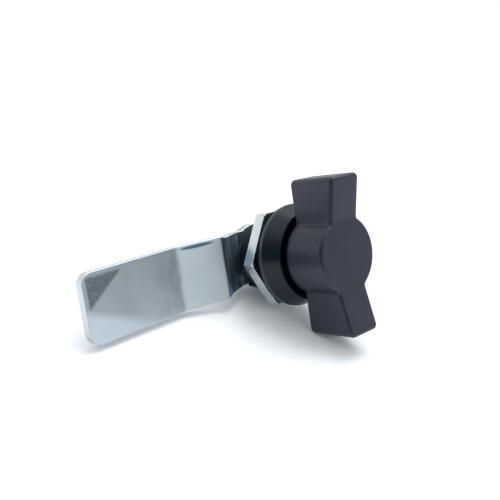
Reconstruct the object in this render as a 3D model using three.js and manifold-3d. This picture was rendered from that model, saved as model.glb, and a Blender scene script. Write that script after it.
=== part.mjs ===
// Wing-knob cam latch for a panel: a quarter-turn knob, a threaded housing, a mounting nut and a bent cam.
// Millimetres. The lock axis is Y, with the knob at -Y and the cam behind the panel at +Y. The upper wing
// points to +Z and the cam to -X. The origin is on the lock axis, where the gasket meets the panel.
import * as THREE from 'three';
import { mergeVertices } from 'three/addons/utils/BufferGeometryUtils.js';
import Module from 'manifold-3d';

const wasm = await Module();
wasm.setup();

const SEGMENTS = 48;        // facets round a turned piece
const CURVE_STEPS = 8;      // steps along each curve of an outline
const FIT = 0.1;            // radial or side clearance of a running fit
const CUT = 1;              // how far a cutter reaches past the face it opens

// Housing: tapered head, flange, threaded barrel.
const FLANGE_R = 15;
const HEAD_TOP_R = 12.75;   // outer radius at the head's front edge
const RECESS_R = 12.1;
const HEAD_FRONT_Y = -7.1;
const CONE_BASE_Y = -2.1;
const SEAT_Y = -1;          // flange face that the gasket lies on
const RECESS_FLOOR_Y = -4.2;
const BARREL_R = 10.95;     // M22 thread, drawn plain
const BARREL_END_Y = 12.2;
const FLAT_HALF = 10.05;    // half the width across the barrel's two flats
const BARREL_CHAMFER = 0.8;
const HEAD_EDGE = 0.3;      // softening of the head's front lip

// Spindle and the square on both its ends.
const SPINDLE_R = 6;
const SQUARE = 8;
const SPINDLE_FRONT_Y = -15;
const SPINDLE_SHOULDER_Y = 13.7;
const SPINDLE_END_Y = 18.3;
const NECK_END_Y = -5;      // rear face of the knob's neck
const TAP_R = 3.1;
const TAP_END_Y = 8;
const GROOVE_Y = 2;
const GROOVE_WIDTH = 2.2;
const GROOVE_R = 4.6;
const SEAL_R = 5.35;        // mean radius of the O-ring
const SEAL_SECTION_R = 0.7;
const SEAL_STEPS = 12;

// Wing knob.
const HUB_R = 11.1;
const HUB_FRONT_Y = -21.2;
const HUB_REAR_Y = -7.8;
const HUB_EDGE = 0.8;
const NECK_R = 8.6;
const WING_REACH = 22.1;
const WING_HALF = 5.7;
const WING_RISE = 2.6;      // how far the wing tips stand in front of the hub
const WING_ROOT = 9.5;      // where the wing's front starts to rise
const WING_EDGE = 0.9;
const SOCKET_END_Y = -15.3;
const PIN_R = 1;
const PIN_HALF = 8.3;
const PIN_Y = -6.6;
const PIN_SEGMENTS = 24;

// Mounting nut.
const NUT_FLATS = 27;
const NUT_FRONT_Y = 1.46;
const NUT_REAR_Y = 4.6;
const NUT_BORE_R = 11.2;
const NUT_CHAMFER = 1;      // how far in from the corners the chamfer starts
const NUT_CHAMFER_FALL = 30; // degrees

// Gasket.
const GASKET_R = 14.7;
const GASKET_HOLE_R = 11.25;
const GASKET_GAP = 0.05;

// Cam: one strip of plate, bent three times.
const CAM_PLATE = 3;
const CAM_LENGTH = 65.8;
const CAM_HALF = 9.12;
const CAM_WAIST = 8.3;
const CAM_ROOT_R = 9.6;
const CAM_TIP_CORNER = 3.2;
const CAM_ROOT_Y = 15.5;
const CAM_WAIST_END = 15;
const CAM_WAIST_RUNOUT = 4.8;
// Where the front face turns: [distance from the axis, depth, radius of the turn].
const CAM_FRONT = [
  [-CAM_ROOT_R - CUT, CAM_ROOT_Y, 0],
  [7.41, CAM_ROOT_Y, 1],
  [19, 8.9, 2],
  [33, 11.4, 7],
  [CAM_LENGTH + CUT, 6.33, 0],
];
const ARC_STEPS = 5;

// Stop: two lugs on the barrel's end, and a washer whose arm swings between them.
const STOP_FRONT_Y = 14;
const STOP_REAR_Y = 15.4;
const STOP_DISC_R = 7;
const STOP_ARM_R = 10.5;
const STOP_ARM_HALF = 16;   // degrees
const STOP_PLAY = 1;        // degrees left at each end of the turn
const TURN = 90;            // degrees
const LUG_SPAN = 20;        // degrees
const LUG_INNER_R = 8.6;
const LUG_OUTER_R = 10.6;
const LUG_END_Y = 15;

// Wave washer behind the barrel.
const WAVE_INNER_R = 6.25;
const WAVE_OUTER_R = 8.2;
const WAVE_THICK = 0.5;
const WAVE_Y = 12.95;
const WAVE_HEIGHT = 0.3;
const WAVES = 3;

// Bolt and its washers.
const BOLT_R = 2.9;
const BOLT_TIP_Y = 9;
const BOLT_HEAD_Y = 21.7;
const BOLT_HEAD_END_Y = 25.7;
const BOLT_FLATS = 10;
const WASHER_HOLE_R = 3.3;
const FLAT_WASHER = { outer: 7, front: 18.6, rear: 20.1 };
const LOCK_WASHER = { outer: 5.2, front: 20.15, rear: 21.65, split: 0.8 };

const STEEL = { color: 0xb4c2c9, roughness: 0.25, metalness: 1 };
const BLACK_CAST = { color: 0x3d404a, roughness: 0.5, metalness: 0.2 };
const BLACK_GLOSS = { color: 0x24272f, roughness: 0.35, metalness: 0.2 };
const RUBBER = { color: 0x121317, roughness: 0.8, metalness: 0 };

const radians = THREE.MathUtils.degToRad;

// ---- between three.js geometry and manifold solids ----

function signedVolume(position, index) {
  const [a, b, c] = [new THREE.Vector3(), new THREE.Vector3(), new THREE.Vector3()];
  let volume = 0;
  for (let i = 0; i < index.length; i += 3) {
    a.fromBufferAttribute(position, index[i]);
    b.fromBufferAttribute(position, index[i + 1]);
    c.fromBufferAttribute(position, index[i + 2]);
    volume += a.dot(b.cross(c)) / 6;
  }
  return volume;
}

// A closed geometry as a solid. Triangles that shrink to a line at a pole are dropped, and a geometry that
// faces inwards is turned the right way round.
function solid(geometry) {
  geometry.deleteAttribute('normal');
  geometry.deleteAttribute('uv');
  const merged = mergeVertices(geometry);
  const all = merged.index.array;
  const kept = [];
  for (let i = 0; i < all.length; i += 3) {
    const [a, b, c] = [all[i], all[i + 1], all[i + 2]];
    if (a !== b && b !== c && c !== a) kept.push(a, b, c);
  }
  if (signedVolume(merged.attributes.position, kept) < 0) kept.reverse();
  const vertProperties = merged.attributes.position.array;
  const triVerts = Uint32Array.from(kept);
  return new wasm.Manifold(new wasm.Mesh({ numProp: 3, vertProperties, triVerts }));
}

function geometryOf(manifold) {
  const mesh = manifold.getMesh();
  const geometry = new THREE.BufferGeometry();
  geometry.setAttribute('position', new THREE.BufferAttribute(Float32Array.from(mesh.vertProperties), 3));
  geometry.setIndex(new THREE.BufferAttribute(Uint32Array.from(mesh.triVerts), 1));
  geometry.computeVertexNormals();
  return geometry;
}

// ---- basic shapes, all on the lock axis ----

// A turned solid from [radius, y] points. A ring's profile is closed by repeating its first point.
function turned(points, ring = false) {
  const profile = points.map(([r, y]) => new THREE.Vector2(r, y));
  if (ring) profile.push(profile[0].clone());
  return solid(new THREE.LatheGeometry(profile, SEGMENTS));
}

function disc(radius, front, rear) {
  return turned([[0, front], [radius, front], [radius, rear], [0, rear]]);
}

function washer(inner, outer, front, rear) {
  return disc(outer, front, rear).subtract(disc(inner, front - CUT, rear + CUT));
}

function block(width, height, front, rear) {
  const geometry = new THREE.BoxGeometry(width, rear - front, height);
  geometry.translate(0, (front + rear) / 2, 0);
  return solid(geometry);
}

// A prism along the lock axis. Shape x becomes X and shape y becomes Z, and then both turn round the axis.
function prism(shape, front, rear, turn = 0) {
  const depth = rear - front;
  const settings = { depth, bevelEnabled: false, curveSegments: CURVE_STEPS };
  const geometry = new THREE.ExtrudeGeometry(shape, settings);
  geometry.rotateX(Math.PI / 2);
  geometry.rotateY(turn);
  geometry.translate(0, rear, 0);
  return solid(geometry);
}

function hexagon(acrossFlats) {
  const corner = acrossFlats / Math.sqrt(3);
  const points = [];
  for (let i = 0; i < 6; i++) {
    const angle = (i * Math.PI) / 3;
    points.push(new THREE.Vector2(corner * Math.cos(angle), corner * Math.sin(angle)));
  }
  return new THREE.Shape(points);
}

// A slice of a flat ring, from one angle to another in degrees, counted from +X towards +Z.
function sector(inner, outer, from, to, front, rear) {
  const shape = new THREE.Shape();
  shape.absarc(0, 0, outer, radians(from), radians(to), false);
  shape.absarc(0, 0, inner, radians(to), radians(from), true);
  shape.closePath();
  return prism(shape, front, rear);
}

// A straight pin along Z through the lock axis.
function crossPin(radius, halfLength) {
  const geometry = new THREE.CylinderGeometry(radius, radius, 2 * halfLength, PIN_SEGMENTS);
  geometry.rotateX(Math.PI / 2);
  geometry.translate(0, PIN_Y, 0);
  return solid(geometry);
}

// ---- the pieces ----

function wingKnob() {
  const hub = turned([
    [0, HUB_FRONT_Y],
    [HUB_R - HUB_EDGE, HUB_FRONT_Y],
    [HUB_R, HUB_FRONT_Y + HUB_EDGE],
    [HUB_R, HUB_REAR_Y],
    [NECK_R, HUB_REAR_Y],
    [NECK_R, NECK_END_Y],
    [0, NECK_END_Y],
  ]);
  const side = new THREE.Shape();
  side.moveTo(-WING_REACH, HUB_REAR_Y);
  side.lineTo(-WING_REACH, HUB_FRONT_Y - WING_RISE);
  side.lineTo(-WING_ROOT, HUB_FRONT_Y);
  side.lineTo(WING_ROOT, HUB_FRONT_Y);
  side.lineTo(WING_REACH, HUB_FRONT_Y - WING_RISE);
  side.lineTo(WING_REACH, HUB_REAR_Y);
  side.closePath();
  const wings = new THREE.ExtrudeGeometry(side, {
    depth: 2 * (WING_HALF - WING_EDGE),
    bevelThickness: WING_EDGE,
    bevelSize: WING_EDGE,
    bevelOffset: -WING_EDGE,
    bevelSegments: 2,
  });
  wings.translate(0, 0, WING_EDGE - WING_HALF);
  wings.rotateY(-Math.PI / 2);
  const socket = block(SQUARE + 2 * FIT, SQUARE + 2 * FIT, SOCKET_END_Y, NECK_END_Y + CUT);
  return hub.add(solid(wings)).subtract(socket).subtract(crossPin(PIN_R + FIT, NECK_R + CUT));
}

function housing() {
  const body = turned([
    [SPINDLE_R + FIT, RECESS_FLOOR_Y],
    [RECESS_R, RECESS_FLOOR_Y],
    [RECESS_R, HEAD_FRONT_Y],
    [HEAD_TOP_R - HEAD_EDGE, HEAD_FRONT_Y],
    [HEAD_TOP_R, HEAD_FRONT_Y + HEAD_EDGE],
    [FLANGE_R, CONE_BASE_Y],
    [FLANGE_R, SEAT_Y],
    [BARREL_R, SEAT_Y],
    [BARREL_R, BARREL_END_Y - BARREL_CHAMFER],
    [BARREL_R - BARREL_CHAMFER, BARREL_END_Y],
    [SPINDLE_R + FIT, BARREL_END_Y],
  ], true);
  const upper = STOP_ARM_HALF + STOP_PLAY;
  const lower = -TURN - upper;
  const lugFront = BARREL_END_Y - CUT;
  const lugs = sector(LUG_INNER_R, LUG_OUTER_R, upper, upper + LUG_SPAN, lugFront, LUG_END_Y)
    .add(sector(LUG_INNER_R, LUG_OUTER_R, lower - LUG_SPAN, lower, lugFront, LUG_END_Y));
  const around = 2 * (BARREL_R + CUT);
  const outside = block(around, around, SEAT_Y, LUG_END_Y + CUT)
    .subtract(block(around + CUT, 2 * FLAT_HALF, SEAT_Y - CUT, LUG_END_Y + 2 * CUT));
  return body.add(lugs).subtract(outside);
}

function spindle() {
  const halfGroove = GROOVE_WIDTH / 2;
  const shaft = turned([
    [0, NECK_END_Y + FIT],
    [SPINDLE_R, NECK_END_Y + FIT],
    [SPINDLE_R, GROOVE_Y - halfGroove],
    [GROOVE_R, GROOVE_Y - halfGroove],
    [GROOVE_R, GROOVE_Y + halfGroove],
    [SPINDLE_R, GROOVE_Y + halfGroove],
    [SPINDLE_R, SPINDLE_SHOULDER_Y],
    [0, SPINDLE_SHOULDER_Y],
  ]);
  const frontSquare = block(SQUARE, SQUARE, SPINDLE_FRONT_Y, NECK_END_Y + CUT);
  const rearSquare = block(SQUARE, SQUARE, SPINDLE_SHOULDER_Y - CUT, SPINDLE_END_Y);
  const thread = disc(TAP_R, TAP_END_Y, SPINDLE_END_Y + CUT);
  return shaft.add(frontSquare).add(rearSquare).subtract(thread).subtract(crossPin(PIN_R + FIT, NECK_R));
}

function spindleSeal() {
  const points = [];
  for (let i = 0; i < SEAL_STEPS; i++) {
    const angle = (2 * Math.PI * i) / SEAL_STEPS;
    points.push([SEAL_R + SEAL_SECTION_R * Math.cos(angle), GROOVE_Y + SEAL_SECTION_R * Math.sin(angle)]);
  }
  return turned(points, true);
}

function hexNut() {
  const chamferR = NUT_FLATS / Math.sqrt(3) - NUT_CHAMFER;
  const corner = chamferR + NUT_CHAMFER + CUT;
  const fall = (corner - chamferR) * Math.tan(radians(NUT_CHAMFER_FALL));
  const envelope = turned([
    [0, NUT_FRONT_Y],
    [chamferR, NUT_FRONT_Y],
    [corner, NUT_FRONT_Y + fall],
    [corner, NUT_REAR_Y - fall],
    [chamferR, NUT_REAR_Y],
    [0, NUT_REAR_Y],
  ]);
  const bore = disc(NUT_BORE_R, NUT_FRONT_Y - CUT, NUT_REAR_Y + CUT);
  return prism(hexagon(NUT_FLATS), NUT_FRONT_Y, NUT_REAR_Y).intersect(envelope).subtract(bore);
}

// A line that turns on arcs: corners as Vector2 with a radius each.
function softenedLine(corners) {
  const points = [corners[0].at];
  for (let i = 1; i < corners.length - 1; i++) {
    const { at, radius } = corners[i];
    const back = corners[i - 1].at.clone().sub(at).normalize();
    const ahead = corners[i + 1].at.clone().sub(at).normalize();
    const half = back.angleTo(ahead) / 2;
    const setBack = radius / Math.tan(half);
    const start = at.clone().addScaledVector(back, setBack);
    const end = at.clone().addScaledVector(ahead, setBack);
    const middle = back.clone().add(ahead).normalize();
    const centre = at.clone().addScaledVector(middle, radius / Math.sin(half));
    for (let step = 0; step <= ARC_STEPS; step++) {
      const onChord = start.clone().lerp(end, step / ARC_STEPS).sub(centre);
      points.push(onChord.setLength(radius).add(centre));
    }
  }
  points.push(corners.at(-1).at);
  return points;
}

// The same line moved sideways by the plate's thickness, with each turn's radius grown or shrunk to match.
function rearCorners(corners) {
  const smallest = 0.5;
  return corners.map(({ at, radius }, i) => {
    const before = (corners[i - 1] ?? corners[i]).at;
    const after = (corners[i + 1] ?? corners[i]).at;
    const arriving = at.clone().sub(before).normalize();
    const leaving = after.clone().sub(at).normalize();
    if (i === 0) arriving.copy(leaving);
    if (i === corners.length - 1) leaving.copy(arriving);
    const across = arriving.clone().add(leaving).normalize();
    const normal = new THREE.Vector2(-across.y, across.x);
    const reach = CAM_PLATE / across.dot(leaving);
    const turn = arriving.cross(leaving);
    const rearRadius = turn > 0 ? radius - CAM_PLATE : radius + CAM_PLATE;
    return { at: at.clone().addScaledVector(normal, reach), radius: Math.max(rearRadius, smallest) };
  });
}

function cam() {
  const front = CAM_FRONT.map(([along, depth, radius]) => ({ at: new THREE.Vector2(along, depth), radius }));
  const section = new THREE.Shape([...softenedLine(front), ...softenedLine(rearCorners(front)).reverse()]);
  const stripHalf = CAM_ROOT_R + CUT;
  const strip = new THREE.ExtrudeGeometry(section, { depth: 2 * stripHalf, bevelEnabled: false });
  strip.translate(0, 0, -stripHalf);
  strip.rotateY(Math.PI);

  const lobeAngle = Math.asin(CAM_WAIST / CAM_ROOT_R);
  const fullWidth = CAM_WAIST_END + CAM_WAIST_RUNOUT;
  const ease = CAM_WAIST_RUNOUT / 2;
  const straightEnd = CAM_LENGTH - CAM_TIP_CORNER;
  const cornerHalf = CAM_HALF - CAM_TIP_CORNER;
  const plan = new THREE.Shape();
  plan.absarc(0, 0, CAM_ROOT_R, lobeAngle, 2 * Math.PI - lobeAngle, false);
  plan.lineTo(CAM_WAIST_END, -CAM_WAIST);
  plan.bezierCurveTo(CAM_WAIST_END + ease, -CAM_WAIST, fullWidth - ease, -CAM_HALF, fullWidth, -CAM_HALF);
  plan.lineTo(straightEnd, -CAM_HALF);
  plan.absarc(straightEnd, -cornerHalf, CAM_TIP_CORNER, -Math.PI / 2, 0, false);
  plan.absarc(straightEnd, cornerHalf, CAM_TIP_CORNER, 0, Math.PI / 2, false);
  plan.lineTo(fullWidth, CAM_HALF);
  plan.bezierCurveTo(fullWidth - ease, CAM_HALF, CAM_WAIST_END + ease, CAM_WAIST, CAM_WAIST_END, CAM_WAIST);
  plan.closePath();

  const outline = prism(plan, 0, SPINDLE_END_Y + CUT, Math.PI);
  const hole = block(SQUARE + 2 * FIT, SQUARE + 2 * FIT, CAM_ROOT_Y - CUT, CAM_ROOT_Y + CAM_PLATE + CUT);
  return solid(strip).intersect(outline).subtract(hole);
}

function stopWasher() {
  const arm = sector(STOP_DISC_R - CUT, STOP_ARM_R, -STOP_ARM_HALF, STOP_ARM_HALF, STOP_FRONT_Y, STOP_REAR_Y);
  const hole = block(SQUARE + 2 * FIT, SQUARE + 2 * FIT, STOP_FRONT_Y - CUT, STOP_REAR_Y + CUT);
  return disc(STOP_DISC_R, STOP_FRONT_Y, STOP_REAR_Y).add(arm).subtract(hole);
}

function waveWasher() {
  const half = WAVE_THICK / 2;
  const geometry = new THREE.LatheGeometry([
    new THREE.Vector2(WAVE_INNER_R, WAVE_Y - half),
    new THREE.Vector2(WAVE_OUTER_R, WAVE_Y - half),
    new THREE.Vector2(WAVE_OUTER_R, WAVE_Y + half),
    new THREE.Vector2(WAVE_INNER_R, WAVE_Y + half),
    new THREE.Vector2(WAVE_INNER_R, WAVE_Y - half),
  ], SEGMENTS);
  const position = geometry.attributes.position;
  for (let i = 0; i < position.count; i++) {
    const angle = Math.atan2(position.getZ(i), position.getX(i));
    position.setY(i, position.getY(i) + WAVE_HEIGHT * Math.cos(WAVES * angle));
  }
  return solid(geometry);
}

function lockWasher() {
  const { outer, front, rear, split } = LOCK_WASHER;
  const slot = block(2 * outer, split, front - CUT, rear + CUT).translate([outer, 0, 0]);
  return washer(WASHER_HOLE_R, outer, front, rear).subtract(slot);
}

function camBolt() {
  const head = prism(hexagon(BOLT_FLATS), BOLT_HEAD_Y, BOLT_HEAD_END_Y);
  const corner = BOLT_FLATS / Math.sqrt(3);
  const rim = (corner + BOLT_FLATS / 2) / 2;
  const envelope = turned([
    [0, BOLT_HEAD_Y],
    [corner + CUT, BOLT_HEAD_Y],
    [corner + CUT, BOLT_HEAD_END_Y - CUT],
    [rim, BOLT_HEAD_END_Y],
    [0, BOLT_HEAD_END_Y],
  ]);
  return head.intersect(envelope).add(disc(BOLT_R, BOLT_TIP_Y, BOLT_HEAD_Y + CUT));
}

const gasket = washer(GASKET_HOLE_R, GASKET_R, SEAT_Y + GASKET_GAP, 0);
const flatWasher = washer(WASHER_HOLE_R, FLAT_WASHER.outer, FLAT_WASHER.front, FLAT_WASHER.rear);

const pieces = [
  ['wing_knob', wingKnob(), BLACK_CAST],
  ['knob_pin', crossPin(PIN_R, PIN_HALF), STEEL],
  ['spindle', spindle(), STEEL],
  ['spindle_seal', spindleSeal(), RUBBER],
  ['housing', housing(), BLACK_GLOSS],
  ['gasket', gasket, RUBBER],
  ['hex_nut', hexNut(), STEEL],
  ['wave_washer', waveWasher(), STEEL],
  ['stop_washer', stopWasher(), STEEL],
  ['cam', cam(), STEEL],
  ['flat_washer', flatWasher, STEEL],
  ['lock_washer', lockWasher(), STEEL],
  ['cam_bolt', camBolt(), STEEL],
];

const latch = new THREE.Group();
for (const [name, piece, finish] of pieces) {
  const mesh = new THREE.Mesh(geometryOf(piece), new THREE.MeshStandardMaterial(finish));
  mesh.name = name;
  latch.add(mesh);
}

export default latch;
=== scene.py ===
import math

import bmesh
import bpy
from mathutils import Matrix, Vector


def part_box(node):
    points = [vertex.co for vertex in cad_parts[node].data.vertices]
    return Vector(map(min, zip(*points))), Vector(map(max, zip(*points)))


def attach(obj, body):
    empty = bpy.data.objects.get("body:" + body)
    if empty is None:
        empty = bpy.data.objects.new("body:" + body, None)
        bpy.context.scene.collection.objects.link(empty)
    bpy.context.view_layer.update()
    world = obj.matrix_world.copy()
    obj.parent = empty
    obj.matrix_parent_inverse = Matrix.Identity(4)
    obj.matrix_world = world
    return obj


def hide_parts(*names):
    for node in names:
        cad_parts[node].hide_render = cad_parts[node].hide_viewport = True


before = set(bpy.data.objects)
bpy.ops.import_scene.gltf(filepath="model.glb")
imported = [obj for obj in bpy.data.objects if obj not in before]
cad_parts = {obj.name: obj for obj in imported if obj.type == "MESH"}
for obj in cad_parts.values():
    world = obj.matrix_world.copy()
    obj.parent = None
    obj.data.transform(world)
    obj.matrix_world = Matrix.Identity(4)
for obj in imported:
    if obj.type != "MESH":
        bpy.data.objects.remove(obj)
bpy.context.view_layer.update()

MM = 0.001
LOCK_AXIS = Vector((0, 1, 0))
ROUND_STEPS = 128
JOINED = 1e-7                      # vertices closer than this are one, in metres

# Places that the frame gives, in metres.
KNOB_LOW, KNOB_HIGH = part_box("wing_knob")
HOUSING_LOW, HOUSING_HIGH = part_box("housing")
GASKET_LOW, GASKET_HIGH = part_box("gasket")
NUT_LOW, NUT_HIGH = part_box("hex_nut")
CAM_LOW, CAM_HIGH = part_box("cam")
SPINDLE_LOW, SPINDLE_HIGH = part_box("spindle")
STOP_LOW, STOP_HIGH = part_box("stop_washer")
FLAT_LOW, FLAT_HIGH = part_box("flat_washer")
LOCK_LOW, LOCK_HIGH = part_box("lock_washer")
BOLT_LOW, BOLT_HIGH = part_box("cam_bolt")
WAVE_LOW, WAVE_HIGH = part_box("wave_washer")
SEAL_LOW, SEAL_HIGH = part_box("spindle_seal")
PIN_LOW, PIN_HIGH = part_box("knob_pin")

# Knob.
HUB_REAR_Y = -7.8 * MM
HUB_FRONT_Y = -21.2 * MM
NECK_RADIUS = 8.6 * MM
SOCKET_END_Y = -15.3 * MM
WING_HALF = 5.7 * MM
WING_HALF_REAR = 5.35 * MM
WING_FILLET = 0.7 * MM             # where a wing's side runs into the hub
WING_CORNER = 1.7 * MM             # upright corners at the wing tips
WING_BEND = 9.5 * MM               # height where the front face starts to rise
WING_BEND_SOFT = 3 * MM            # how far that rise takes to set in
FRONT_EDGE = 1.2 * MM
REAR_EDGE = 0.7 * MM

# Housing.
HEAD_RADIUS = 12.75 * MM
RECESS_RADIUS = 12.1 * MM
RECESS_FLOOR_Y = -4.2 * MM
CONE_BASE_Y = -2.1 * MM
SEAT_Y = -1 * MM
BARREL_RADIUS = 10.95 * MM
BARREL_END_Y = 12.2 * MM
BARREL_FLAT = 10.05 * MM
BORE_RADIUS = 6.1 * MM
THREAD_PITCH = 1.5 * MM
THREAD_DEPTH = 0.75 * MM
LUG_INNER = 8.6 * MM
LUG_OUTER = 10.6 * MM
LUG_ANGLES = (17, -127)            # degrees from +X towards +Z where each lug starts
LUG_SPAN = 20

# Nut and bolt.
NUT_BORE = 11.1 * MM
NUT_REAR_Y = NUT_HIGH.y + 0.5 * MM
HEX_CHAMFER = 0.5 * MM

# Cam: the front face's corners as (distance along the arm, depth, radius of the turn).
CAM_PLATE = 3 * MM
CAM_ROOT_RADIUS = 9.6 * MM
CAM_WAIST = 8.3 * MM
CAM_HALF = 9.12 * MM
CAM_TIP_CORNER = 3.2 * MM
CAM_WAIST_END = 15 * MM
CAM_FULL_FROM = 19.8 * MM
CAM_EDGE = 0.22 * MM
CAM_ROOT_Y = 15.5 * MM
CAM_CORNERS = (
    (-12 * MM, CAM_ROOT_Y, 0),
    (7.41 * MM, CAM_ROOT_Y, 1 * MM),
    (19 * MM, 8.9 * MM, 1.2 * MM),
    (33 * MM, 11.4 * MM, 8 * MM),
    (66.8 * MM, 6.33 * MM, 0),
)
SQUARE = 8 * MM
PLAY = 0.1 * MM                    # left round a piece that sits in another
TAP_RADIUS = 3.1 * MM
TAP_END_Y = 8 * MM
SHOULDER_Y = 13.7 * MM
GROOVE_HALF = 1.1 * MM
GROOVE_RADIUS = 4.6 * MM


# ---- outlines ----

def arc(centre, radius, start, end, steps):
    """Points on an arc, angles in degrees."""
    angles = [math.radians(start + (end - start) * i / steps) for i in range(steps + 1)]
    return [centre + radius * Vector((math.cos(a), math.sin(a))) for a in angles]


def softened(corners, closed=False, steps=6):
    """A line through (a, b, radius) corners, each turned on an arc of its radius."""
    places = [Vector(c[:2]) for c in corners]
    line = []
    for i, (place, radius) in enumerate(zip(places, [c[2] for c in corners])):
        at_end = not closed and i in (0, len(corners) - 1)
        if at_end or radius == 0:
            line.append(place)
            continue
        back = (places[i - 1] - place).normalized()
        ahead = (places[(i + 1) % len(places)] - place).normalized()
        half = back.angle(ahead) / 2
        start = place + back * radius / math.tan(half)
        end = place + ahead * radius / math.tan(half)
        centre = place + (back + ahead).normalized() * radius / math.sin(half)
        for step in range(steps + 1):
            on_chord = start.lerp(end, step / steps) - centre
            line.append(centre + on_chord.normalized() * radius)
    return line


# ---- mesh work ----

def tidy(mesh):
    """Merges doubles and turns every face outwards."""
    bmesh.ops.remove_doubles(mesh, verts=mesh.verts, dist=JOINED)
    bmesh.ops.dissolve_degenerate(mesh, edges=mesh.edges, dist=JOINED)
    bmesh.ops.recalc_face_normals(mesh, faces=mesh.faces)
    return mesh


def wire(mesh, points, closed):
    """Edges through the points, which are Vectors."""
    verts = [mesh.verts.new(p) for p in points]
    pairs = list(zip(verts, verts[1:])) + ([(verts[-1], verts[0])] if closed else [])
    return verts, [mesh.edges.new(pair) for pair in pairs]


def turned(outline, ring=False, steps=ROUND_STEPS, angle=360, climb=0.0):
    """A (radius, depth) outline spun round the lock axis. climb is how far it moves along the axis in the turn."""
    mesh = bmesh.new()
    verts, edges = wire(mesh, [Vector((r, y, 0)) for r, y in outline], ring)
    full = angle == 360 and climb == 0
    bmesh.ops.spin(
        mesh, geom=verts + edges, cent=(0, 0, 0), axis=LOCK_AXIS, dvec=LOCK_AXIS * climb / steps,
        angle=math.radians(angle), steps=steps, use_merge=full, use_normal_flip=False, use_duplicate=False,
    )
    return tidy(mesh)


def slab(outline, front, rear, along_lock=True):
    """A flat outline made solid. Along the lock axis its points are (x, z), and across it they are (x, y)."""
    mesh = bmesh.new()
    if along_lock:
        places, push = [Vector((x, front, z)) for x, z in outline], Vector((0, rear - front, 0))
    else:
        places, push = [Vector((x, y, front)) for x, y in outline], Vector((0, 0, rear - front))
    face = mesh.faces.new([mesh.verts.new(p) for p in places])
    grown = bmesh.ops.extrude_face_region(mesh, geom=[face])
    bmesh.ops.translate(mesh, vec=push, verts=[v for v in grown["geom"] if isinstance(v, bmesh.types.BMVert)])
    return tidy(mesh)


def soften_edges(mesh, width, steps, wanted):
    """Rounds the edges that wanted(edge) picks."""
    edges = [e for e in mesh.edges if len(e.link_faces) == 2 and wanted(e)]
    bmesh.ops.bevel(
        mesh, geom=edges, offset=width, offset_type="OFFSET", segments=steps, profile=0.5, affect="EDGES",
        material=-1, clamp_overlap=False, loop_slide=True,
    )
    return tidy(mesh)


def sliced(mesh, place, facing, beyond_goes=False):
    """Cuts the mesh along a plane, and may take away what lies beyond it."""
    bmesh.ops.bisect_plane(
        mesh, geom=mesh.verts[:] + mesh.edges[:] + mesh.faces[:], dist=JOINED,
        plane_co=place, plane_no=facing, clear_outer=beyond_goes,
    )


def filled(mesh):
    """Closes the openings that a cut left."""
    bmesh.ops.holes_fill(mesh, edges=[e for e in mesh.edges if e.is_boundary], sides=0)
    return mesh


def sharp(edge, least=35):
    return edge.calc_face_angle(0) > math.radians(least)


def joined(*meshes):
    """Several closed shells as one mesh."""
    whole = bmesh.new()
    for part in meshes:
        holder = bpy.data.meshes.new("shell")
        part.to_mesh(holder)
        part.free()
        whole.from_mesh(holder)
        bpy.data.meshes.remove(holder)
    return whole


def carved(body, cutter, how="DIFFERENCE"):
    """body cut by, joined to or kept only inside cutter."""
    holders = []
    for part in (body, cutter):
        holder = bpy.data.objects.new("blank", bpy.data.meshes.new("blank"))
        part.to_mesh(holder.data)
        part.free()
        bpy.context.scene.collection.objects.link(holder)
        holders.append(holder)
    step = holders[0].modifiers.new("cut", "BOOLEAN")
    step.operation = how
    step.solver = "EXACT"
    step.object = holders[1]
    result = bmesh.new()
    result.from_object(holders[0], bpy.context.evaluated_depsgraph_get())
    for holder in holders:
        bpy.data.objects.remove(holder)
    return tidy(result)


def piece(name, mesh, material, body, slot, *nodes, crease=38):
    """The finished piece: smooth except along its creases, riding on its body in place of its CAD nodes."""
    data = bpy.data.meshes.new(name)
    mesh.to_mesh(data)
    mesh.free()
    data.shade_smooth()
    data.set_sharp_from_angle(angle=math.radians(crease))
    data.materials.append(material)
    made = bpy.data.objects.new(name, data)
    bpy.context.scene.collection.objects.link(made)
    flat_stays_flat = made.modifiers.new("flat_stays_flat", "WEIGHTED_NORMAL")
    flat_stays_flat.mode = "FACE_AREA"
    flat_stays_flat.weight = 100
    flat_stays_flat.keep_sharp = True
    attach(made, body)
    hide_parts(*nodes)
    return made


# ---- pieces of the latch ----

def knob_outline():
    """The knob from the front: a round hub and two wings, from one wing tip's corner round to the other's."""
    hub = KNOB_HIGH.x
    fillet_x = WING_HALF + WING_FILLET
    fillet_z = math.sqrt((hub + WING_FILLET) ** 2 - fillet_x ** 2)
    meets = math.degrees(math.atan2(fillet_z, fillet_x))
    tip = softened([
        (0, KNOB_HIGH.z, 0),
        (WING_HALF, KNOB_HIGH.z, WING_CORNER),
        (WING_HALF, fillet_z, 0),
    ])[1:-1]
    upper = arc(Vector((fillet_x, fillet_z)), WING_FILLET, 180, 180 + meets, 5)
    rim = arc(Vector((0, 0)), hub, meets, -meets, 36)[1:-1]
    lower = [Vector((p.x, -p.y)) for p in reversed(tip + upper)]
    right = tip + upper + rim + lower
    return right + [-p for p in right]


def wing_rise(z):
    """How far the front face stands out at a height: flat over the hub, then a straight slope to the wing tip."""
    slope = (HUB_FRONT_Y - KNOB_LOW.y) / (KNOB_HIGH.z - WING_BEND)
    past = abs(z) - WING_BEND + WING_BEND_SOFT / 2
    if past <= 0:
        return 0
    return slope * (past ** 2 / (2 * WING_BEND_SOFT) if past < WING_BEND_SOFT else past - WING_BEND_SOFT / 2)


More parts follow.
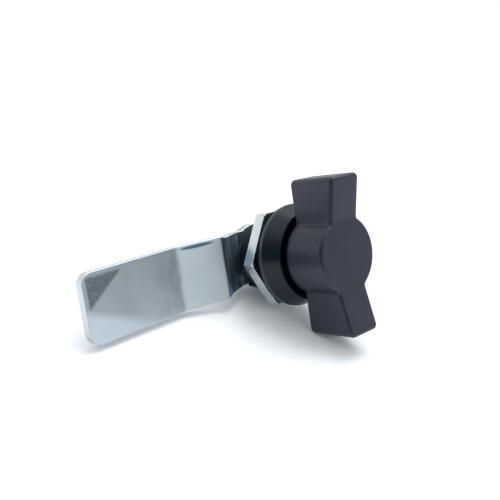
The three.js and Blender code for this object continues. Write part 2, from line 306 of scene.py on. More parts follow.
def wing_knob():
    body = slab(knob_outline(), HUB_FRONT_Y, HUB_REAR_Y)
    soften_edges(body, FRONT_EDGE, 5, lambda e: sharp(e) and min(f.normal.y for f in e.link_faces) < -0.7)
    soften_edges(body, REAR_EDGE, 3, lambda e: sharp(e) and max(f.normal.y for f in e.link_faces) > 0.7)
    cuts = 8
    for i in range(cuts):
        height = WING_BEND + WING_BEND_SOFT * (i / (cuts - 1) - 0.5)
        for side in (1, -1):
            sliced(body, (0, 0, side * height), (0, 0, 1))
    for vert in body.verts:
        if vert.co.y < (HUB_FRONT_Y + HUB_REAR_Y) / 2:
            vert.co.y -= wing_rise(vert.co.z)
        else:
            past = (abs(vert.co.z) - WING_BEND) / WING_BEND_SOFT + 0.5
            vert.co.x *= 1 - (1 - WING_HALF_REAR / WING_HALF) * min(max(past, 0), 1)
    overlap = 1 * MM
    neck = turned(softened([
        (0, HUB_REAR_Y - overlap, 0),
        (NECK_RADIUS, HUB_REAR_Y - overlap, 0),
        (NECK_RADIUS, KNOB_HIGH.y, 0.3 * MM),
        (0, KNOB_HIGH.y, 0),
    ]))
    knob = carved(body, neck, "UNION")
    socket = slab(square(PLAY, 0), SOCKET_END_Y, KNOB_HIGH.y + MM)
    return carved(carved(knob, socket), pin_rod(PIN_HIGH.x + PLAY, NECK_RADIUS + MM))


def square(play, corner=0.4 * MM):
    """The outline of the spindle's square ends, or with play the hole for one."""
    half = SQUARE / 2 + play
    places = ((-half, -half), (half, -half), (half, half), (-half, half))
    return softened([(*place, corner) for place in places], closed=True)


def pin_rod(radius, half_length):
    """An upright rod where the cross pin goes."""
    mesh = bmesh.new()
    bmesh.ops.create_cone(
        mesh, cap_ends=True, cap_tris=False, segments=32, radius1=radius, radius2=radius,
        depth=2 * half_length, matrix=Matrix.Translation((0, (PIN_LOW.y + PIN_HIGH.y) / 2, 0)),
    )
    return tidy(mesh)


def thread(radius, depth, front, rear, inside=False):
    """A solid rod, or for a tapped hole its cutter, with a screw thread along its whole length."""
    crest, root = (radius, radius - depth) if not inside else (radius + depth, radius)
    flat = THREAD_PITCH / 8
    flank = (THREAD_PITCH - 2 * flat) / 2
    outline = []
    turns = math.ceil((rear - front) / THREAD_PITCH) + 3
    for turn in range(turns):
        start = front + (turn - 2) * THREAD_PITCH
        outline += [(root, start), (root, start + flat), (crest, start + flat + flank),
                    (crest, start + 2 * flat + flank)]
    outline.append((root, front + (turns - 2) * THREAD_PITCH))
    mesh = turned(outline, steps=72, climb=THREAD_PITCH)
    for place, way in ((front, -1), (rear, 1)):
        sliced(mesh, (0, place, 0), (0, way, 0), beyond_goes=True)
    return tidy(filled(mesh))


def housing():
    head = turned(softened([
        (BORE_RADIUS, RECESS_FLOOR_Y, 0),
        (RECESS_RADIUS, RECESS_FLOOR_Y, 0.5 * MM),
        (RECESS_RADIUS, HOUSING_LOW.y, 0.2 * MM),
        (HEAD_RADIUS, HOUSING_LOW.y, 0.3 * MM),
        (HOUSING_HIGH.x, CONE_BASE_Y, 0.35 * MM),
        (HOUSING_HIGH.x, SEAT_Y, 0.2 * MM),
        (BORE_RADIUS, SEAT_Y, 0),
    ], closed=True), ring=True)
    overlap = 0.5 * MM
    chamfer = 1 * MM
    rod = thread(BARREL_RADIUS, THREAD_DEPTH, SEAT_Y - overlap, BARREL_END_Y)
    envelope = turned([
        (0, SEAT_Y - overlap * 2),
        (2 * BARREL_RADIUS, SEAT_Y - overlap * 2),
        (2 * BARREL_RADIUS, BARREL_END_Y - chamfer - BARREL_RADIUS),
        (BARREL_RADIUS - chamfer, BARREL_END_Y),
        (0, BARREL_END_Y),
    ])
    barrel = carved(rod, envelope, "INTERSECT")
    for side in (1, -1):
        sliced(barrel, (0, 0, side * BARREL_FLAT), (0, 0, side), beyond_goes=True)
        filled(barrel)
    bore = turned([
        (0, SEAT_Y - MM), (BORE_RADIUS, SEAT_Y - MM), (BORE_RADIUS, BARREL_END_Y + MM), (0, BARREL_END_Y + MM),
    ])
    barrel = carved(tidy(barrel), bore)
    lugs = []
    for start in LUG_ANGLES:
        lug = bmesh.new()
        corners = [(LUG_INNER, BARREL_END_Y - overlap), (LUG_OUTER, BARREL_END_Y - overlap),
                   (LUG_OUTER, HOUSING_HIGH.y), (LUG_INNER, HOUSING_HIGH.y)]
        face = lug.faces.new([lug.verts.new((r, y, 0)) for r, y in corners])
        turn = Matrix.Rotation(math.radians(-start), 4, "Y")
        bmesh.ops.transform(lug, matrix=turn, verts=lug.verts)
        bmesh.ops.spin(
            lug, geom=[face] + face.edges[:] + face.verts[:], cent=(0, 0, 0), axis=LOCK_AXIS, dvec=(0, 0, 0),
            angle=math.radians(-LUG_SPAN), steps=10, use_merge=False, use_normal_flip=False, use_duplicate=False,
        )
        tidy(lug)
        lugs.append(soften_edges(lug, 0.25 * MM, 2, sharp))
    return joined(head, barrel, *lugs)


def gasket():
    inner = 11.25 * MM
    return turned(softened([
        (inner, GASKET_LOW.y, 0.15 * MM),
        (GASKET_HIGH.x, GASKET_LOW.y, 0.3 * MM),
        (GASKET_HIGH.x, GASKET_HIGH.y, 0.3 * MM),
        (inner, GASKET_HIGH.y, 0.15 * MM),
    ], closed=True), ring=True)


def hexagon(half_flats):
    corner = half_flats / math.cos(math.radians(30))
    return [corner * Vector((math.cos(math.radians(60 * i)), math.sin(math.radians(60 * i)))) for i in range(6)]


def hex_block(half_flats, front, rear, chamfered_front=True):
    """A hexagon with softened edges and 30 degree chamfers on its corners."""
    block = slab(hexagon(half_flats), front, rear)
    soften_edges(block, 0.15 * MM, 2, lambda e: sharp(e, 20))
    corner = half_flats / math.cos(math.radians(30))
    flat_radius = corner - HEX_CHAMFER
    beyond = 0.4 * MM
    fall = (HEX_CHAMFER + beyond) * math.tan(math.radians(30))
    front_end = [(flat_radius, front), (corner + beyond, front + fall)]
    if not chamfered_front:
        front_end = [(corner + beyond, front - MM)]
    envelope = turned([
        (0, front_end[0][1]),
        *front_end,
        (corner + beyond, rear - fall),
        (flat_radius, rear),
        (0, rear),
    ])
    return carved(block, envelope, "INTERSECT")


def hex_nut():
    block = hex_block(NUT_HIGH.z, NUT_LOW.y, NUT_REAR_Y)
    tap = thread(NUT_BORE, 0.5 * MM, NUT_LOW.y - MM, NUT_REAR_Y + MM, inside=True)
    tapped = carved(block, tap)
    lead = 0.5 * MM
    mouth_radius = NUT_BORE + lead
    for face_y, way in ((NUT_LOW.y, 1), (NUT_REAR_Y, -1)):
        mouth = turned([
            (0, face_y - way * MM),
            (mouth_radius + MM, face_y - way * MM),
            (mouth_radius, face_y),
            (NUT_BORE - MM, face_y + way * (MM + lead)),
            (0, face_y + way * (MM + lead)),
        ])
        tapped = carved(tapped, mouth)
    return tapped


def cam_section():
    """The bent plate seen from above: its front line, and the same line one plate behind."""
    places = [Vector(c[:2]) for c in CAM_CORNERS]
    rear = []
    for i, (place, corner) in enumerate(zip(places, CAM_CORNERS)):
        arriving = (place - places[max(i - 1, 0)]).normalized()
        leaving = (places[min(i + 1, len(places) - 1)] - place).normalized()
        arriving = arriving if i else leaving
        leaving = leaving if i < len(places) - 1 else arriving
        across = (arriving + leaving).normalized()
        behind = place + Vector((-across.y, across.x)) * CAM_PLATE / across.dot(leaving)
        turns_rearwards = arriving.x * leaving.y - arriving.y * leaving.x > 0
        radius = corner[2] - CAM_PLATE if turns_rearwards else corner[2] + CAM_PLATE
        rear.append((*behind, max(radius, 0.5 * MM)))
    front_line = softened(CAM_CORNERS, steps=8)
    rear_line = softened(rear, steps=8)
    return [Vector((-p.x, p.y)) for p in front_line + rear_line[::-1]]


def cam_plan():
    """The cam's outline from the front: a round root, a slight waist at the ramp, and an arm with rounded corners."""
    lobe = math.degrees(math.asin(CAM_WAIST / CAM_ROOT_RADIUS))
    root = arc(Vector((0, 0)), CAM_ROOT_RADIUS, lobe, 360 - lobe, 48)
    steps = 8
    widening = []
    for i in range(steps + 1):
        share = i / steps
        eased = share * share * (3 - 2 * share)
        widening.append(Vector((
            CAM_WAIST_END + (CAM_FULL_FROM - CAM_WAIST_END) * share,
            -CAM_WAIST - (CAM_HALF - CAM_WAIST) * eased,
        )))
    length = -CAM_LOW.x
    lower_tip = arc(Vector((length - CAM_TIP_CORNER, CAM_TIP_CORNER - CAM_HALF)), CAM_TIP_CORNER, -90, 0, 10)
    lower = widening + lower_tip
    upper = [Vector((p.x, -p.y)) for p in reversed(lower)]
    return [Vector((-p.x, p.y)) for p in root + lower + upper]


def cam():
    strip = slab(cam_section(), -1.5 * CAM_HALF, 1.5 * CAM_HALF, along_lock=False)
    outline = slab(cam_plan(), 0, CAM_HIGH.y + MM)
    arm = carved(strip, outline, "INTERSECT")
    soften_edges(arm, CAM_EDGE, 4, lambda e: sharp(e, 55))
    return carved(arm, slab(square(PLAY, 0), CAM_ROOT_Y - MM, CAM_HIGH.y + MM))


def spindle():
    front = KNOB_HIGH.y + PLAY
    groove = (SEAL_LOW.y + SEAL_HIGH.y) / 2
    radius = SPINDLE_HIGH.x
    shaft = turned(softened([
        (0, front, 0),
        (radius, front, 0.2 * MM),
        (radius, groove - GROOVE_HALF, 0.1 * MM),
        (GROOVE_RADIUS, groove - GROOVE_HALF, 0.1 * MM),
        (GROOVE_RADIUS, groove + GROOVE_HALF, 0.1 * MM),
        (radius, groove + GROOVE_HALF, 0.1 * MM),
        (radius, SHOULDER_Y, 0.4 * MM),
        (0, SHOULDER_Y, 0),
    ], steps=3))
    for start, end in ((SPINDLE_LOW.y, front + MM), (SHOULDER_Y - MM, SPINDLE_HIGH.y)):
        shaft = carved(shaft, slab(square(0), start, end), "UNION")
    tap = turned([
        (0, TAP_END_Y), (TAP_RADIUS, TAP_END_Y), (TAP_RADIUS, SPINDLE_HIGH.y + MM), (0, SPINDLE_HIGH.y + MM),
    ], steps=48)
    return carved(carved(shaft, tap), pin_rod(PIN_HIGH.x + PLAY, NECK_RADIUS))


def wave_washer():
    inner = 6.25 * MM
    thick = 0.5 * MM
    lift = (WAVE_HIGH.y - WAVE_LOW.y - thick) / 2
    middle = (WAVE_HIGH.y + WAVE_LOW.y) / 2
    mesh = turned(softened([
        (inner, middle - thick / 2, 0.1 * MM),
        (WAVE_HIGH.x, middle - thick / 2, 0.1 * MM),
        (WAVE_HIGH.x, middle + thick / 2, 0.1 * MM),
        (inner, middle + thick / 2, 0.1 * MM),
    ], closed=True, steps=3), ring=True)
    for vert in mesh.verts:
        vert.co.y += lift * math.cos(3 * math.atan2(vert.co.z, vert.co.x))
    return mesh


def stop_washer():
    disc_radius = 7 * MM
    arm_radius = 10.5 * MM
    arm_half = 16
    root_half = 22
    outline = arc(Vector((0, 0)), disc_radius, root_half, 360 - root_half, 64)
    outline += arc(Vector((0, 0)), arm_radius, -arm_half, arm_half, 12)
    plate = slab(outline, STOP_LOW.y, STOP_HIGH.y)
    soften_edges(plate, 0.2 * MM, 2, lambda e: sharp(e, 55))
    return carved(plate, slab(square(PLAY, 0), STOP_LOW.y - MM, STOP_HIGH.y + MM))


def flat_washer():
    inner = 3.3 * MM
    return turned(softened([
        (inner, FLAT_LOW.y, 0.1 * MM),
        (FLAT_HIGH.x, FLAT_LOW.y, 0.3 * MM),
        (FLAT_HIGH.x, FLAT_HIGH.y, 0.15 * MM),
        (inner, FLAT_HIGH.y, 0.1 * MM),
    ], closed=True, steps=3), ring=True)


def lock_washer():
    inner = 3.3 * MM
    step = 0.2 * MM
    rear = LOCK_HIGH.y - step
    mesh = bmesh.new()
    outline = softened([
        (inner, LOCK_LOW.y, 0.2 * MM),
        (LOCK_HIGH.x, LOCK_LOW.y, 0.2 * MM),
        (LOCK_HIGH.x, rear, 0.2 * MM),
        (inner, rear, 0.2 * MM),
    ], closed=True, steps=3)
    face = mesh.faces.new([mesh.verts.new((r, y, 0)) for r, y in outline])
    steps = 96
    bmesh.ops.spin(
        mesh, geom=[face] + face.edges[:] + face.verts[:], cent=(0, 0, 0), axis=LOCK_AXIS,
        dvec=LOCK_AXIS * step / steps, angle=math.radians(350), steps=steps, use_merge=False,
        use_normal_flip=False, use_duplicate=False,
    )
    return tidy(mesh)


def cam_bolt():
    head_front = LOCK_HIGH.y + 0.05 * MM
    head = hex_block(BOLT_HIGH.z, head_front, BOLT_HIGH.y, chamfered_front=False)
    dish = turned([
        (0, BOLT_HIGH.y - 0.5 * MM),
        (2.6 * MM, BOLT_HIGH.y - 0.5 * MM),
        (3.4 * MM, BOLT_HIGH.y + 0.1 * MM),
        (0, BOLT_HIGH.y + 0.1 * MM),
    ])
    shank_radius = 2.9 * MM
    shank = turned([
        (0, BOLT_LOW.y), (shank_radius, BOLT_LOW.y), (shank_radius, head_front + MM), (0, head_front + MM),
    ], steps=48)
    return joined(carved(head, dish), shank)


def spindle_seal():
    section = (SEAL_HIGH.y - SEAL_LOW.y) / 2
    centre = Vector((SEAL_HIGH.x - section, (SEAL_HIGH.y + SEAL_LOW.y) / 2))
    return turned(arc(centre, section, 0, 360, 16)[:-1], ring=True)


def knob_pin():
    return soften_edges(pin_rod(PIN_HIGH.x, PIN_HIGH.z), 0.2 * MM, 3, lambda e: sharp(e, 60))


# ---- finishes ----

POWDER_TONES = ((0.008, 0.0105, 0.027), (0.012, 0.0145, 0.033))
GLOSS_TONES = ((0.002, 0.006, 0.014), (0.004, 0.008, 0.017))
ZINC_TONES = ((0.55, 0.625, 0.665), (0.59, 0.665, 0.70))
ROLLED_ZINC_TONES = ((0.74, 0.80, 0.84), (0.88, 0.91, 0.93))
STEEL_TONES = ((0.10, 0.105, 0.12), (0.13, 0.135, 0.15))
RUBBER_TONES = ((0.002, 0.003, 0.005), (0.004, 0.005, 0.007))
# painted highlight on the flange's narrow rim
RIM_HIGHLIGHT_TONE = (0.040, 0.046, 0.062)

# The arm's plating, with painted reflections, painted highlights and painted shade. Lines across it are (direction,
# distance from the lock axis along it, softness).
ARM_REFLECTION_TONES = (0.85, 1.5)            # painted reflection: times the plating's tone, at the tip and at the last bend
ARM_REFLECTION_TONES_FROM = (-52 * MM, -35 * MM)
BENT_REFLECTION_TONE = 1.08                   # painted reflection: the same between the two bends
LAST_BEND = ((1, 0, 0), -33 * MM, 1 * MM)
EDGE_HIGHLIGHT_TONE = (0.70, 0.74, 0.77)     # painted highlight on the plate's cut edges
# The ramp's painted reflection of the dark housing and its thread, in bands.
RAMP_FACING = (0.495, -0.869, 0)   # which way the ramp's front looks
RAMP_REFLECTION_TONES = ((0.11, 0.20, 0.28), (0.36, 0.50, 0.60))
RAMP_REFLECTION_BANDS = (260, 260, 90)
RAMP_ROUGHNESS = 0.5
# painted shade along the rolled-over top edge
ROLLED_SHADE_FROM = ((1, 0, 0), -32.6 * MM, 1 * MM)
ROLLED_SHADE_AT = (-27 * MM, 10.3 * MM, 8.15 * MM)     # where the painted shade of the rolled-over sheared edge lies
ROLLED_SHADE_SIZE = (5.6 * MM, 4 * MM, 0.5 * MM)
# painted reflection: a dark, speckled patch on the tip's upper corner
DARK_REFLECTION_TONE = (0.17, 0.205, 0.245)
DARK_REFLECTION_CORNER = ((-0.696, 0, 1), 44.9 * MM, 0.5 * MM)
DARK_REFLECTION_TOP = ((0, 0, -1), -7.9 * MM, 0.4 * MM)
DARK_REFLECTION_TIP = ((1, 0, 0), -64.6 * MM, 0.4 * MM)
# painted reflection: a pale patch on the tip's lower corner
PALE_REFLECTION_TONE = (0.74, 0.83, 0.91)
PALE_REFLECTION_CORNER = ((-0.36, 0, -1), 24.3 * MM, 1.2 * MM)


def new_group(name, inputs, outputs):
    """A shader node group with named sockets, and its input and output nodes."""
    group = bpy.data.node_groups.new(name, "ShaderNodeTree")
    for socket, value in inputs.items():
        made = group.interface.new_socket(socket, in_out="INPUT", socket_type="NodeSocketFloat")
        made.default_value = value
    for socket, kind in outputs.items():
        group.interface.new_socket(socket, in_out="OUTPUT", socket_type=kind)
    return group, group.nodes.new("NodeGroupInput"), group.nodes.new("NodeGroupOutput")


def noise(tree, scale, detail, roughness=0.5, vector=None):
    node = tree.nodes.new("ShaderNodeTexNoise")
    node.inputs["Scale"].default_value = scale
    node.inputs["Detail"].default_value = detail
    node.inputs["Roughness"].default_value = roughness
    if vector is None:
        vector = tree.nodes.new("ShaderNodeTexCoord").outputs["Object"]
    tree.links.new(vector, node.inputs["Vector"])
    return node.outputs["Fac"]


def remap(tree, value, low, high, new_low, new_high):
    node = tree.nodes.new("ShaderNodeMapRange")
    node.inputs["From Min"].default_value = low
    node.inputs["From Max"].default_value = high
    for socket, given in (("To Min", new_low), ("To Max", new_high)):
        if isinstance(given, (int, float)):
            node.inputs[socket].default_value = given
        else:
            tree.links.new(given, node.inputs[socket])
    tree.links.new(value, node.inputs["Value"])
    return node.outputs["Result"]


def mix_colours(tree, factor, first, second):
    node = tree.nodes.new("ShaderNodeMix")
    node.data_type = "RGBA"
    tree.links.new(factor, node.inputs["Factor"])
    for socket, given in ((node.inputs[6], first), (node.inputs[7], second)):
        if isinstance(given, tuple):
            socket.default_value = (*given, 1)
        else:
            tree.links.new(given, socket)
    return node.outputs[2]


def mottle_group():
    """Slow and fine unevenness of a surface, each 0 to 1: Cloud for tone, and Grain for the bump and the gloss."""
    group, given, out = new_group(
        "uneven_surface", {"Cloud Size": 150.0, "Grain Size": 3000.0},
        {"Cloud": "NodeSocketFloat", "Grain": "NodeSocketFloat"},
    )
    place = group.nodes.new("ShaderNodeTexCoord").outputs["Object"]
    for source, target, detail in (("Cloud Size", "Cloud", 3.0), ("Grain Size", "Grain", 2.0)):
        texture = group.nodes.new("ShaderNodeTexNoise")
        texture.inputs["Detail"].default_value = detail
        group.links.new(place, texture.inputs["Vector"])
        group.links.new(given.outputs[source], texture.inputs["Scale"])
        group.links.new(texture.outputs["Fac"], out.inputs[target])
    return group


UNEVEN = mottle_group()


def finish_for(name, tones, roughness, metallic, cloud_size, grain_size, grain_depth, streaks=None, gloss=0.5):
    """A finish: two tones that drift into each other, a roughness range, and a fine grain pressed into the surface."""
    material = bpy.data.materials.new(name)
    material.use_nodes = True
    tree = material.node_tree
    shader = tree.nodes["Principled BSDF"]
    shader.inputs["Metallic"].default_value = metallic
    shader.inputs["Specular IOR Level"].default_value = gloss
    uneven = tree.nodes.new("ShaderNodeGroup")
    uneven.node_tree = UNEVEN
    uneven.inputs["Cloud Size"].default_value = cloud_size
    uneven.inputs["Grain Size"].default_value = grain_size
    cloud = remap(tree, uneven.outputs["Cloud"], 0.35, 0.65, 0.0, 1.0)
    tree.links.new(mix_colours(tree, cloud, *tones), shader.inputs["Base Color"])
    tree.links.new(remap(tree, uneven.outputs["Grain"], 0.3, 0.7, *roughness), shader.inputs["Roughness"])
    bump = tree.nodes.new("ShaderNodeBump")
    bump.inputs["Distance"].default_value = grain_depth
    bump.inputs["Strength"].default_value = 1.0
    height = uneven.outputs["Grain"]
    if streaks is not None:
        mapping = tree.nodes.new("ShaderNodeMapping")
        mapping.inputs["Scale"].default_value = streaks
        place = tree.nodes.new("ShaderNodeTexCoord").outputs["Object"]
        tree.links.new(place, mapping.inputs["Vector"])
        height = noise(tree, 1.0, 2.0, vector=mapping.outputs["Vector"])
    tree.links.new(height, bump.inputs["Height"])
    tree.links.new(bump.outputs["Normal"], shader.inputs["Normal"])
    return material


def beyond_line(tree, across, offset, softness, place):
    """0 on one side of a straight line over a surface and 1 on the other, with a soft edge between."""
    dot = tree.nodes.new("ShaderNodeVectorMath")
    dot.operation = "DOT_PRODUCT"
    dot.inputs[1].default_value = across
    tree.links.new(place, dot.inputs[0])
    return remap(tree, dot.outputs["Value"], offset - softness, offset + softness, 0.0, 1.0)


def multiply(tree, first, second):
    node = tree.nodes.new("ShaderNodeMath")
    node.operation = "MULTIPLY"
    for socket, given in zip(node.inputs, (first, second)):
        if isinstance(given, (int, float)):
            socket.default_value = given
        else:
            tree.links.new(given, socket)
    return node.outputs["Value"]


def painted_rim_highlight(material):
    """Painted highlight: a paler tone on the flange's narrow rim, standing in for light caught on its edge."""
    tree = material.node_tree
    shader = tree.nodes["Principled BSDF"]
    colour = shader.inputs["Base Color"].links[0].from_socket
    place = tree.nodes.new("ShaderNodeTexCoord").outputs["Object"]
    rim = multiply(
        tree,
        beyond_line(tree, (0, 1, 0), CONE_BASE_Y - 0.1 * MM, 0.15 * MM, place),
        beyond_line(tree, (0, -1, 0), -SEAT_Y - 0.1 * MM, 0.1 * MM, place),
    )
    tree.links.new(mix_colours(tree, rim, colour, RIM_HIGHLIGHT_TONE), shader.inputs["Base Color"])
    return material


def scaled(tree, colour, value):
    node = tree.nodes.new("ShaderNodeVectorMath")
    node.operation = "SCALE"
    tree.links.new(colour, node.inputs[0])
    tree.links.new(value, node.inputs["Scale"])
    return node.outputs["Vector"]


def arm_painted_light(tree, colour, place, normal, faces_front):
    """Painted reflections in the plating's tone along the arm, and a painted highlight on its cut edges."""
    along = tree.nodes.new("ShaderNodeSeparateXYZ")
    tree.links.new(place, along.inputs["Vector"])
    arm_tone = remap(tree, along.outputs["X"], *ARM_REFLECTION_TONES_FROM, *ARM_REFLECTION_TONES)
    bent_tone = remap(tree, beyond_line(tree, *LAST_BEND, place), 0.0, 1.0, arm_tone, BENT_REFLECTION_TONE)
    facing = tree.nodes.new("ShaderNodeSeparateXYZ")
    tree.links.new(normal, facing.inputs["Vector"])
    edgewise = tree.nodes.new("ShaderNodeMath")
    edgewise.operation = "ABSOLUTE"
    tree.links.new(facing.outputs["Y"], edgewise.inputs[0])
    colour = scaled(tree, colour, remap(tree, faces_front, 0.0, 1.0, 1.0, bent_tone))
    # painted highlight on the cut edges
    flatwise = remap(tree, edgewise.outputs["Value"], 0.35, 0.6, 0.0, 1.0)
    return mix_colours(tree, flatwise, EDGE_HIGHLIGHT_TONE, colour)


def painted_ramp_reflection(tree, shader, colour, place, normal):
    """A banded, dark painted reflection of the housing and its thread, and rougher, where the arm steps forwards."""
    on_ramp = beyond_line(tree, RAMP_FACING, 0.972, 0.018, normal)
    bands = tree.nodes.new("ShaderNodeMapping")
    bands.inputs["Scale"].default_value = RAMP_REFLECTION_BANDS
    tree.links.new(place, bands.inputs["Vector"])
    band = remap(tree, noise(tree, 1.0, 2.0, vector=bands.outputs["Vector"]), 0.38, 0.62, 0.0, 1.0)
    smooth = shader.inputs["Roughness"].links[0].from_socket
    tree.links.new(remap(tree, on_ramp, 0.0, 1.0, smooth, RAMP_ROUGHNESS), shader.inputs["Roughness"])
    return mix_colours(tree, on_ramp, colour, mix_colours(tree, band, *RAMP_REFLECTION_TONES))


def rolled_edge_painted_shade(tree, colour, place, faces_front):
    """Painted shade: a thin dark lens along the top edge, where the shears rolled it over."""
    seen_up = multiply(tree, beyond_line(tree, *ROLLED_SHADE_FROM, place), faces_front)
    lens = tree.nodes.new("ShaderNodeMapping")
    lens.vector_type = "TEXTURE"
    lens.inputs["Location"].default_value = ROLLED_SHADE_AT
    lens.inputs["Scale"].default_value = ROLLED_SHADE_SIZE
    tree.links.new(place, lens.inputs["Vector"])
    reach = tree.nodes.new("ShaderNodeVectorMath")
    reach.operation = "LENGTH"
    tree.links.new(lens.outputs["Vector"], reach.inputs[0])
    rolled = multiply(tree, remap(tree, reach.outputs["Value"], 0.8, 1.1, 1.0, 0.0), seen_up)
    return mix_colours(tree, rolled, colour, RAMP_REFLECTION_TONES[0])


def tip_painted_reflections(tree, colour, place, faces_front):
    """Painted reflections: a dark, speckled one on the tip's upper corner and a pale one on its lower corner."""
    dark_reflection = multiply(
        tree,
        multiply(tree, beyond_line(tree, *DARK_REFLECTION_CORNER, place), beyond_line(tree, *DARK_REFLECTION_TOP, place)),
        multiply(tree, beyond_line(tree, *DARK_REFLECTION_TIP, place), faces_front),
    )
    specks = remap(tree, noise(tree, 1500.0, 2.0), 0.4, 0.7, 1.0, 0.7)
    darkened = mix_colours(tree, multiply(tree, dark_reflection, specks), colour, DARK_REFLECTION_TONE)
    pale_reflection = multiply(tree, beyond_line(tree, *PALE_REFLECTION_CORNER, place), faces_front)
    return mix_colours(tree, pale_reflection, darkened, PALE_REFLECTION_TONE)


def arm_plating_with_painted_light(material):
    """The cam's plating with painted light: painted reflections along the arm, on the ramp and on a speckled and a
    pale corner, painted highlights on the cut edges, and painted shade along a rolled edge.
    """
    tree = material.node_tree
    shader = tree.nodes["Principled BSDF"]
    colour = shader.inputs["Base Color"].links[0].from_socket
    coordinates = tree.nodes.new("ShaderNodeTexCoord")
    place = coordinates.outputs["Object"]
    normal = coordinates.outputs["Normal"]
    faces_front = beyond_line(tree, (0, -1, 0), 0.93, 0.03, normal)
    colour = arm_painted_light(tree, colour, place, normal, faces_front)
    colour = painted_ramp_reflection(tree, shader, colour, place, normal)
    colour = rolled_edge_painted_shade(tree, colour, place, faces_front)
    tree.links.new(tip_painted_reflections(tree, colour, place, faces_front), shader.inputs["Base Color"])
    return material


POWDER_COAT = finish_for(
    "black_powder_coat", POWDER_TONES, (0.34, 0.41), 0.0, 90, 2600, 0.00001,
    gloss=0.58)
GLOSS_COAT = finish_for(
    "black_gloss_coat", GLOSS_TONES, (0.20, 0.27), 0.0, 120, 1500, 0.000008,
    streaks=(90, 5000, 90), gloss=0.34)
ZINC = finish_for(
    "zinc_plate", ZINC_TONES, (0.35, 0.41), 1.0, 140, 500, 0.000001)
NUT_ZINC = finish_for(
    "zinc_plate_rolled", ROLLED_ZINC_TONES, (0.22, 0.36), 1.0, 300, 2200, 0.00001,
    streaks=(150, 5200, 150))
STEEL = finish_for(
    "turned_steel", STEEL_TONES, (0.25, 0.4), 1.0, 200, 3000, 0.000004)
# the flange rim gets a painted highlight
GLOSS_COAT = painted_rim_highlight(GLOSS_COAT)
# the cam's plating with its painted reflections, highlights and shade
ARM_ZINC = arm_plating_with_painted_light(finish_for(
    "zinc_plate_arm", ZINC_TONES, (0.33, 0.39), 1.0, 140, 500, 0.000001))
RUBBER = finish_for(
    "rubber", RUBBER_TONES, (0.65, 0.8), 0.0, 200, 2000, 0.00002, gloss=0.08)


# ---- put together ----

CAMERA_AT = Vector((-143.47, -143.63, 32.58)) * MM
CAMERA_LOOK = Vector((0.65509, 0.74184, -0.14329))
CAMERA_UP = Vector((0.20797, 0.00528, 0.97812))
CAMERA_LENS = 50


def camera():
    data = bpy.data.cameras.new("camera")
    data.lens = CAMERA_LENS
    data.clip_start = MM
    holder = bpy.data.objects.new("camera", data)
    bpy.context.scene.collection.objects.link(holder)
    right = CAMERA_LOOK.cross(CAMERA_UP).normalized()
    up = right.cross(CAMERA_LOOK).normalized()
    turn = Matrix((right, up, -CAMERA_LOOK)).transposed().to_4x4()
    holder.matrix_world = Matrix.Translation(CAMERA_AT) @ turn
    bpy.context.scene.camera = holder


camera()

piece("knob_with_wings", wing_knob(), POWDER_COAT, "turning_set", "black_powder_coat", "wing_knob", crease=50)
piece("housing_casting", housing(), GLOSS_COAT, "housing", "black_gloss_coat", "housing")
piece("gasket_ring", gasket(), RUBBER, "housing", "rubber", "gasket")
piece("mounting_nut_hex", hex_nut(), NUT_ZINC, "mounting_nut", "zinc_plate", "hex_nut", crease=25)
piece("bent_cam", cam(), ARM_ZINC, "turning_set", "zinc_plate", "cam", crease=30)
piece("spindle_shaft", spindle(), STEEL, "turning_set", "steel", "spindle")
piece("wavy_spring_washer", wave_washer(), STEEL, "turning_set", "steel", "wave_washer")
piece("quarter_turn_stop", stop_washer(), STEEL, "turning_set", "steel", "stop_washer")
piece("plain_washer", flat_washer(), ZINC, "turning_set", "zinc_plate", "flat_washer")
piece("split_lock_washer", lock_washer(), STEEL, "turning_set", "steel", "lock_washer")
piece("hexagon_bolt", cam_bolt(), ZINC, "turning_set", "zinc_plate", "cam_bolt")
piece("o_ring", spindle_seal(), RUBBER, "turning_set", "rubber", "spindle_seal")
piece("cross_pin", knob_pin(), STEEL, "turning_set", "steel", "knob_pin")


# ---- floor and light ----

FLOOR_UP = Vector((0.064, -0.419, 0.906)).normalized()   # the lower wing's corner touches, the cam is just clear
FLOOR_HALF = 3
FLOOR_TONE = (0.93, 0.94, 0.955)
FLOOR_MIRRORED = (0.78, 0.795, 0.815)   # painted shade: the floor's darker tone as the shiny pieces show it
FLOOR_ROUGHNESS = 0.6
FLOOR_GLOSS = 0.15
FLOOR_NEAR = 0.14                  # how far the floor reaches towards whoever looks
ROOM_TINT = (0.93, 0.965, 1.0)
ROOM_LIGHT = (0.62, 1.10)          # on matt surfaces, from eye height and from overhead
ROOM_ASIDE = (0.82, 0.62)          # mirrored at eye height, straight in front and to the right
ROOM_OVERHEAD = 1.1
DARK_SIDE = Vector((-0.9, -0.42, 0.1)).normalized()   # where whoever looks at the latch stands
DARK_SIDE_LIGHT = 0.1
SUN_FROM = (0.1, 0.42, 1.0)       # right, back and up from the floor
SUN_WIDTH = 45                     # degrees
SUN_LIGHT = 1.4


def floor_ways():
    """Right and back along the floor, as seen by whoever looks."""
    back = (CAMERA_LOOK - FLOOR_UP * CAMERA_LOOK.dot(FLOOR_UP)).normalized()
    return back.cross(FLOOR_UP), back


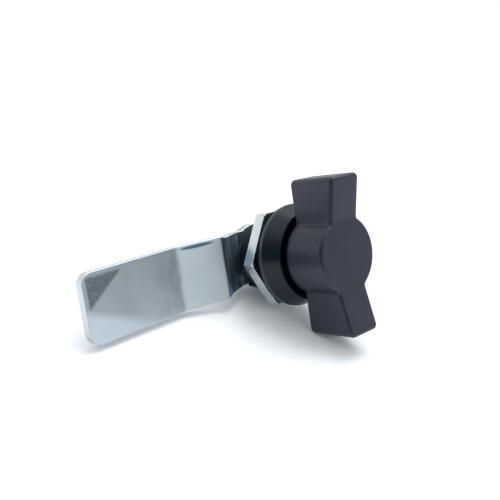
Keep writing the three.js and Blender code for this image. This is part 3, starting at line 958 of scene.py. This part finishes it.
def floor():
    lowest = min(v.co.dot(FLOOR_UP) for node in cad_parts.values() for v in node.data.vertices)
    mesh = bmesh.new()
    bmesh.ops.create_grid(mesh, x_segments=1, y_segments=1, size=FLOOR_HALF)
    data = bpy.data.meshes.new("floor")
    right, back = floor_ways()
    turn = Matrix((right, back, FLOOR_UP)).transposed().to_4x4()
    middle = FLOOR_UP * lowest + back * (FLOOR_HALF - FLOOR_NEAR)
    bmesh.ops.transform(mesh, matrix=Matrix.Translation(middle) @ turn, verts=mesh.verts)
    mesh.to_mesh(data)
    mesh.free()
    material = bpy.data.materials.new("white_floor")
    material.use_nodes = True
    tree = material.node_tree
    shader = tree.nodes["Principled BSDF"]
    mirrored = tree.nodes.new("ShaderNodeLightPath").outputs["Is Glossy Ray"]
    tone = mix_colours(tree, mirrored, FLOOR_TONE, FLOOR_MIRRORED)
    tree.links.new(tone, shader.inputs["Base Color"])
    shader.inputs["Roughness"].default_value = FLOOR_ROUGHNESS
    shader.inputs["Specular IOR Level"].default_value = FLOOR_GLOSS
    clear = tree.nodes.new("ShaderNodeBsdfTransparent")
    mix = tree.nodes.new("ShaderNodeMixShader")
    under = tree.nodes.new("ShaderNodeNewGeometry").outputs["Backfacing"]
    tree.links.new(under, mix.inputs["Fac"])
    tree.links.new(shader.outputs["BSDF"], mix.inputs[1])
    tree.links.new(clear.outputs["BSDF"], mix.inputs[2])
    tree.links.new(mix.outputs["Shader"], tree.nodes["Material Output"].inputs["Surface"])
    data.materials.append(material)
    holder = bpy.data.objects.new("floor", data)
    bpy.context.scene.collection.objects.link(holder)


def overhead_light():
    """Wide soft light from above, the same over the whole floor."""
    data = bpy.data.lights.new("overhead_light", "SUN")
    data.angle = math.radians(SUN_WIDTH)
    data.energy = SUN_LIGHT
    holder = bpy.data.objects.new("overhead_light", data)
    bpy.context.scene.collection.objects.link(holder)
    right, back = floor_ways()
    way = right * SUN_FROM[0] + back * SUN_FROM[1] + FLOOR_UP * SUN_FROM[2]
    holder.matrix_world = way.to_track_quat("Z", "Y").to_matrix().to_4x4()


def surroundings():
    """A white room. Mirrored in metal it is a grey one: lit from overhead, and duller to the right of the latch."""
    world = bpy.data.worlds.new("white_room")
    world.use_nodes = True
    bpy.context.scene.world = world
    tree = world.node_tree
    out = tree.nodes["World Output"]
    direction = tree.nodes.new("ShaderNodeTexCoord").outputs["Generated"]

    def towards(way):
        """How far a ray points along a direction, -1 to 1."""
        dot = tree.nodes.new("ShaderNodeVectorMath")
        dot.operation = "DOT_PRODUCT"
        dot.inputs[1].default_value = way
        tree.links.new(direction, dot.inputs[0])
        return dot.outputs["Value"]

    def background(colour, strength):
        node = tree.nodes.new("ShaderNodeBackground")
        node.inputs["Color"].default_value = (*colour, 1)
        if isinstance(strength, (int, float)):
            node.inputs["Strength"].default_value = strength
        else:
            tree.links.new(strength, node.inputs["Strength"])
        return node.outputs["Background"]

    def choose(fac, first, second):
        node = tree.nodes.new("ShaderNodeMixShader")
        tree.links.new(fac, node.inputs["Fac"])
        tree.links.new(first, node.inputs[1])
        tree.links.new(second, node.inputs[2])
        return node.outputs["Shader"]

    rays = tree.nodes.new("ShaderNodeLightPath")
    aside = remap(tree, towards((1, 0, 0)), 0.0, 0.85, *ROOM_ASIDE)
    bright = remap(tree, towards(FLOOR_UP), 0.25, 0.8, aside, ROOM_OVERHEAD)
    strength = remap(tree, towards(DARK_SIDE), 0.55, 0.88, bright, DARK_SIDE_LIGHT)
    lit = background(ROOM_TINT, remap(tree, towards(FLOOR_UP), 0.0, 0.7, *ROOM_LIGHT))
    mirrored = background(ROOM_TINT, strength)
    seen = background((1, 1, 1), 1.0)
    mix = choose(rays.outputs["Is Glossy Ray"], lit, mirrored)
    tree.links.new(choose(rays.outputs["Is Camera Ray"], mix, seen), out.inputs["Surface"])
    world.cycles.sampling_method = "NONE"


floor()
overhead_light()
surroundings()
bpy.context.scene.view_settings.view_transform = "Standard"
